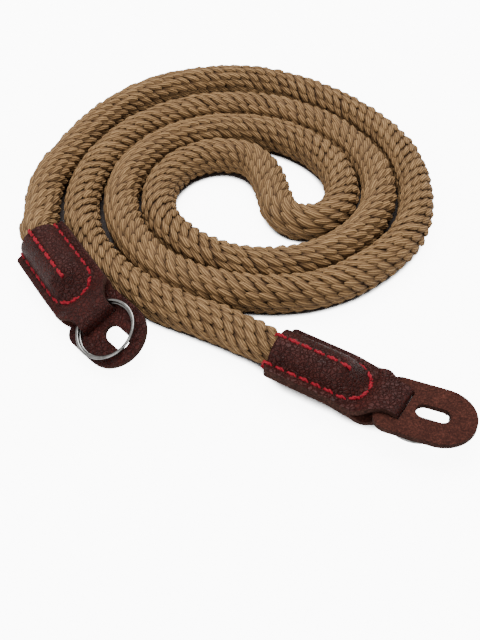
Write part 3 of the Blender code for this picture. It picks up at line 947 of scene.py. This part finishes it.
stitch = build_stitch()
sewing = stitching_tree()
print("a stitch has", len(stitch.data.vertices), "vertices, and its tree", len(sewing.nodes), "nodes")

# %% [markdown]
# ## Sewing the tabs
#
# The tree needs lines to sew along. They are edges laid on the leather, above and below, and
# each of their points carries which way is up. The thread is crimson with a little wax on it,
# and takes its fine lines from the same group as the yarn, set closer together, with painted
# shade in the valleys between them.

# %% Dye the thread and sew
SEAM_STEP = 0.8 * MM
SEWING_SEED = 7


def seam_paths(end):
    """The seams of one tab, above and below, as edges that lie on the leather."""
    vertices, edges, ups = [], [], []
    for upper in (True, False):
        for seam in seam_lines():
            points = []
            for (ax, ay), (bx, by) in zip(seam, seam[1:]):
                steps = max(1, round(math.dist((ax, ay), (bx, by)) / SEAM_STEP))
                points += [(ax + (bx - ax) * i / steps, ay + (by - ay) * i / steps) for i in range(steps)]
            points.append(seam[-1])
            first = len(vertices)
            vertices += [surface_point(end, x, y, upper) for x, y in points]
            edges += [(first + i, first + i + 1) for i in range(len(points) - 1)]
            ups += [1.0 if upper else -1.0] * len(points)
    seams = mesh_object("seams", vertices, [], edges)
    seams.data.attributes.new("up", "FLOAT", "POINT").data.foreach_set("value", ups)
    return seams


def thread_material():
    material, tree, where = new_material("red waxed thread", 0.55, Specular_IOR_Level=0.2)
    uv = add_node(tree, "ShaderNodeUVMap", uv_map="yarn").outputs[0]
    lines = place_group(tree, FILAMENTS, uv, Lines_across=5.0, Wander=0.5)
    clouds = place_group(tree, CLOUDS, where, Patches_per_metre=400.0, Contrast=1.2)
    base = mix_colours(tree, clouds["Tone"], (0.22, 0.0022, 0.0115), (0.35, 0.0050, 0.0200))
    # Painted shade: the valleys between the thread's filaments are mixed towards dark red.
    painted_valley_shade = math_node(tree, "MULTIPLY", lines["Valley"], 0.6)
    colour = mix_colours(tree, painted_valley_shade, base, (0.04, 0.0006, 0.0018))
    return finish_material(material, lines["Height"], 0.06 * MM, 0.7, Base_Color=colour)


THREAD = thread_material()
for side, end in ENDS.items():
    seams = seam_paths(end)
    stitches = run_tree(sewing, "stitching_" + side, {
        "Seams": seams, "Stitch": stitch, "Pitch": STITCH_PITCH, "Seed": SEWING_SEED,
        "Material": THREAD})
    bpy.data.objects.remove(seams, do_unlink=True)
    apply_place(stitches, end_matrix(end))
    finish_piece(stitches)
bpy.data.objects.remove(stitch, do_unlink=True)

# %% [markdown]
# ## The shields
#
# A shield is a flat strip of the same leather that keeps the ring off the camera. It has a
# slit for the tab's tongue and a slot for the camera's strap lug. Such a flat shape with
# holes is best drawn as outlines and filled. Shield and ring lie in the tab's fold, one over
# the other, so the heights of both come from the thickness of what lies under them.

# %% Draw the shields
SHIELD_THICKNESS = 1.4 * MM
SHIELD_WIDTH = 18.0 * MM
SHIELD_REACH = 17.0 * MM
SHIELD_PLAY = 1.0 * MM
SHIELD_CORNER = 4.0 * MM
LUG_SLOT_LENGTH = 8.6 * MM
LUG_SLOT_WIDTH = 4.4 * MM
LUG_SLOT_FROM_TONGUE = 6.8 * MM
SLIT_PLAY = 0.3 * MM
GAP = 0.3 * MM
RING_OUTER_RADIUS = 8.5 * MM
RING_WIRE_WIDTH = 1.3 * MM
RING_WIRE_HEIGHT = 0.58 * MM
RING_TURN_GAP = 0.1 * MM
CHANNEL_HEIGHT = 2 * (FOLD_HALF - LEATHER)
CHANNEL_END = FOLD_LENGTH - LEATHER


def stack_matrix(end):
    """The fold's own frame: it starts where the pocket ends, and dips with the tongue."""
    hinge = Matrix.Translation((POCKET_LENGTH, 0, tab_middle(end, POCKET_LENGTH)))
    return end_matrix(end) @ hinge @ Matrix.Rotation(math.radians(end["dip"]), 4, "Y")


def stack_levels(end):
    """Heights in the fold of the shield's and the ring's undersides."""
    floor = -CHANNEL_HEIGHT / 2 + GAP
    if end["ring_on_top"]:
        return floor, floor + SHIELD_THICKNESS + GAP
    return floor + 2 * RING_WIRE_HEIGHT + RING_TURN_GAP + GAP, floor


def arc(centre, radius, first, last, steps):
    angles = [math.radians(first + (last - first) * i / steps) for i in range(steps + 1)]
    return [(centre[0] + radius * math.cos(a), centre[1] + radius * math.sin(a)) for a in angles]


def shield_outlines(end):
    """The shield's edge, its lug slot and its slit, in the fold's frame."""
    half = SHIELD_WIDTH / 2
    tail = FOLD_OPENS + SHIELD_PLAY
    far = FOLD_LENGTH + SHIELD_REACH - half + end["slide"] * MM
    corner_x, corner_y = tail + SHIELD_CORNER, half - SHIELD_CORNER
    edge = (arc((far, 0), half, -90, 90, 32) + arc((corner_x, corner_y), SHIELD_CORNER, 90, 180, 10)
            + arc((corner_x, -corner_y), SHIELD_CORNER, 180, 270, 10))
    middle = FOLD_LENGTH + LUG_SLOT_FROM_TONGUE
    radius = LUG_SLOT_WIDTH / 2
    reach = LUG_SLOT_LENGTH / 2 - radius
    slot = arc((middle + reach, 0), radius, -90, 90, 14) + arc((middle - reach, 0), radius, 90, 270, 14)
    turn = math.radians(end["skew"])

    def skewed(points):
        return [(FOLD_LENGTH + (x - FOLD_LENGTH) * math.cos(turn) - y * math.sin(turn),
                 (x - FOLD_LENGTH) * math.sin(turn) + y * math.cos(turn)) for x, y in points]

    near, past, side = CHANNEL_END - GAP, FOLD_LENGTH + SLIT_PLAY, TONGUE_WIDTH / 2 + GAP / 3
    slit = [(near, -side), (past, -side), (past, side), (near, side)]
    return [skewed(edge), skewed(slot), slit]


print("points on a shield's outlines:", [len(outline) for outline in shield_outlines(ENDS["left"])])

# %% [markdown]
# ## Cutting the shields
#
# The outlines become loops of edges, and a triangle fill leaves the slit and the slot open.
# Straight cuts each way slice the face into small cells, so that no long thin triangles
# spoil the soft edges. The left shield shows its grain side and the right one its suede side.

# %% Cut the shields
SHIELD_EDGE_ROUND = 0.25 * MM
CELL = 1.0 * MM
# Each way, the axis that the cuts cross, and the first and last cut in cells.
CELLS = ((Vector((1, 0, 0)), 0, 32), (Vector((0, 1, 0)), -14, 14))


def shield_sheet(end):
    """The shield's upper face, in small cells."""
    bm = bmesh.new()
    edges = []
    for outline in shield_outlines(end):
        ring = [bm.verts.new((x, y, 0)) for x, y in outline]
        edges += [bm.edges.new((ring[i], ring[(i + 1) % len(ring)])) for i in range(len(ring))]
    bmesh.ops.triangle_fill(bm, use_beauty=True, use_dissolve=False, edges=edges, normal=(0, 0, 1))
    for axis, low, high in CELLS:
        for step in range(low, high):
            parts = bm.verts[:] + bm.edges[:] + bm.faces[:]
            bmesh.ops.bisect_plane(
                bm, geom=parts, plane_co=axis * step * CELL, plane_no=axis, dist=MERGE_DISTANCE)
    bmesh.ops.dissolve_limit(bm, angle_limit=0.001, verts=bm.verts[:], edges=[], delimit=set())
    mesh = bpy.data.meshes.new("shield sheet")
    bm.to_mesh(mesh)
    bm.free()
    return add_object("shield sheet", mesh)


for side, end in ENDS.items():
    sheet = shield_sheet(end)
    top = stack_levels(end)[0] + SHIELD_THICKNESS
    apply_place(sheet, Matrix.Translation((0, 0, top)))
    sides = [GRAIN_LEATHER, SUEDE] if end["ring_on_top"] else [SUEDE, GRAIN_LEATHER]
    shield = leather_sheet(
        sheet, SHIELD_THICKNESS, "leather_shield_" + side, sides + [CUT_EDGE], SHIELD_EDGE_ROUND)
    apply_place(shield, stack_matrix(end))
    finish_piece(shield, "shield_" + side)

# %% [markdown]
# ## The split rings
#
# A split ring is flat steel wire wound almost twice, which steps up to its second turn
# over a short stretch. One section of the wire, with its corners rounded, is swept round
# and up. The steel is polished, and its tone changes slowly, as reflections do.

# %% Wind the rings
RING_WOUND = 684.0
RING_STEP_STARTS = 326.0
RING_STEP_ENDS = 356.0
RING_WIRE_STARTS = 40.0
STEPS_PER_TURN = 64
WIRE_ROUND = 0.25 * MM
WIRE_SEEN_WIDTH = 0.82 * MM
TURN_SHIFT = 0.46 * MM


def wire_section():
    """The wire's section, outward and up, as a rectangle with round corners."""
    points = []
    for corner, (u, v) in enumerate(((1, 0), (1, 1), (0, 1), (0, 0))):
        cu = WIRE_SEEN_WIDTH * u + WIRE_ROUND * (1 - 2 * u)
        cv = RING_WIRE_HEIGHT * v + WIRE_ROUND * (1 - 2 * v)
        points += arc((cu, cv), WIRE_ROUND, corner * 90 - 90, corner * 90, 3)
    return points


def wind_ring(name, end):
    """The wire swept round the ring's centre, in the frame of the fold."""
    inner = RING_OUTER_RADIUS - RING_WIRE_WIDTH
    chord = math.sqrt(inner ** 2 - (TONGUE_WIDTH / 2 + GAP) ** 2)
    centre = Vector((CHANNEL_END - GAP + chord, 0, stack_levels(end)[1]))
    section = wire_section()
    vertices = []
    steps = int(STEPS_PER_TURN * RING_WOUND / 360)
    for i in range(steps + 1):
        angle = RING_WOUND * i / steps
        step = smooth(RING_STEP_STARTS, RING_STEP_ENDS, angle)
        base = (RING_WIRE_HEIGHT + RING_TURN_GAP) * step
        radius = inner + TURN_SHIFT * step
        turn = math.radians(RING_WIRE_STARTS + angle)
        outward = Vector((math.cos(turn), math.sin(turn), 0))
        vertices += [centre + outward * (radius + u) + Vector((0, 0, base + v)) for u, v in section]
    ring = mesh_object(name, vertices, loft_faces(steps + 1, len(section)))
    face_outwards(ring)
    return ring


def steel_material():
    material, tree, where = new_material("polished steel", 0.16, Metallic=1.0)
    clouds = place_group(tree, CLOUDS, where, Patches_per_metre=500.0, Contrast=1.0)
    colour = mix_colours(tree, clouds["Tone"], (0.12, 0.118, 0.115), (0.36, 0.355, 0.345))
    rough = map_range(tree, clouds["Tone"], (0.0, 1.0), (0.10, 0.24))
    fine = noise_node(tree, where, 6000.0, Detail=3.0)["Fac"]
    return finish_material(material, fine, 0.01 * MM, 0.4, Base_Color=colour, Roughness=rough)


STEEL = steel_material()
for side, end in ENDS.items():
    ring = wind_ring("steel_ring_" + side, end)
    ring.data.materials.append(STEEL)
    ring.data.shade_smooth()
    ring.data.set_sharp_from_angle(angle=SHARP_ANGLE)
    apply_place(ring, stack_matrix(end))
    finish_piece(ring, "split_ring_" + side)

# %% [markdown]
# ## Floor and light
#
# The strap lies on a plain white table. The table glows for the camera alone, as an
# overexposed white sheet does. In the narrow slits between the strands, which Ambient
# Occlusion finds, the glow stops and the table is painted almost black, as painted shade.
# It is stage only and isn't exported with the strap.

# %% Set the table
FLOOR_GLOW = 9.0
SLIT_DEPTH = 7.5 * MM
TABLE_HALF = 3.0


def floor_material():
    material, tree, where = new_material("pale table", 0.6)
    clouds = place_group(tree, CLOUDS, where, Patches_per_metre=3.0, Contrast=0.6)
    openness = add_node(tree, "ShaderNodeAmbientOcclusion", {"Distance": SLIT_DEPTH}, samples=32)
    open_floor = map_range(tree, openness.outputs["AO"], (0.28, 0.46), ease="SMOOTHSTEP")
    paint = mix_colours(tree, clouds["Tone"], (0.90, 0.90, 0.90), (0.92, 0.92, 0.92))
    shader = tree.nodes["Principled BSDF"]
    # Painted shade: in the slits the table's colour is mixed to near black, and below, its glow is cut
    # there too.
    painted_slit_shade = mix_colours(tree, open_floor, (0.05, 0.035, 0.03), paint)
    tree.links.new(painted_slit_shade, shader.inputs["Base Color"])
    seen = add_node(tree, "ShaderNodeLightPath").outputs["Is Camera Ray"]
    strength = math_node(tree, "MULTIPLY", math_node(tree, "MULTIPLY", seen, open_floor), FLOOR_GLOW)
    glow = add_node(tree, "ShaderNodeEmission", {"Strength": strength})
    both = add_node(tree, "ShaderNodeAddShader", {0: shader.outputs[0], 1: glow.outputs[0]})
    tree.links.new(both.outputs[0], tree.nodes["Material Output"].inputs["Surface"])
    return material


corners = [(x * TABLE_HALF, y * TABLE_HALF, 0) for x, y in ((-1, -1), (1, -1), (1, 1), (-1, 1))]
floor = mesh_object("table", corners, [(0, 1, 2, 3)])
floor.data.materials.append(floor_material())
print("the table is", 2 * TABLE_HALF, "m wide")

# %% [markdown]
# ## Light
#
# A very wide soft lamp stands a little behind the strap, so the tops of the strands are
# bright and the sides that face the camera are darker. A weaker one fills in from the front.
# The sky is dark near the horizon and bright overhead, for the steel to reflect.

# %% Hang the lamps and paint the sky
# Name, place and width in metres, and watts.
LAMPS = (("overhead", (0.0, 0.35, 0.9), 0.9, 14.0), ("front fill", (-0.5, -0.7, 0.6), 0.6, 3.0))
AIM = Vector((0.0, 0.0, 0.0))
SKY_TINT = (1.0, 0.985, 0.96, 1.0)

for name, place, width, watts in LAMPS:
    data = bpy.data.lights.new(name, "AREA")
    data.shape = "DISK"
    data.size = width
    data.energy = watts
    lamp = add_object(name, data)
    lamp.location = place
    lamp.rotation_euler = (AIM - Vector(place)).to_track_quat("-Z", "Y").to_euler()

world = bpy.data.worlds.new("studio")
world.use_nodes = True
tree = world.node_tree
background = tree.nodes["Background"]
background.inputs["Color"].default_value = SKY_TINT
sky = add_node(tree, "ShaderNodeSeparateXYZ", {
    0: add_node(tree, "ShaderNodeTexCoord").outputs["Generated"]})
rise = map_range(tree, sky.outputs["Z"], (0.1, 0.8), (0.45, 1.15))
# The camera sees the sky as white as the table, so no horizon shows in a low view.
watched = add_node(tree, "ShaderNodeLightPath").outputs["Is Camera Ray"]
strength = math_node(tree, "MULTIPLY_ADD", watched, FLOOR_GLOW, rise)
tree.links.new(strength, background.inputs["Strength"])
bpy.context.scene.world = world
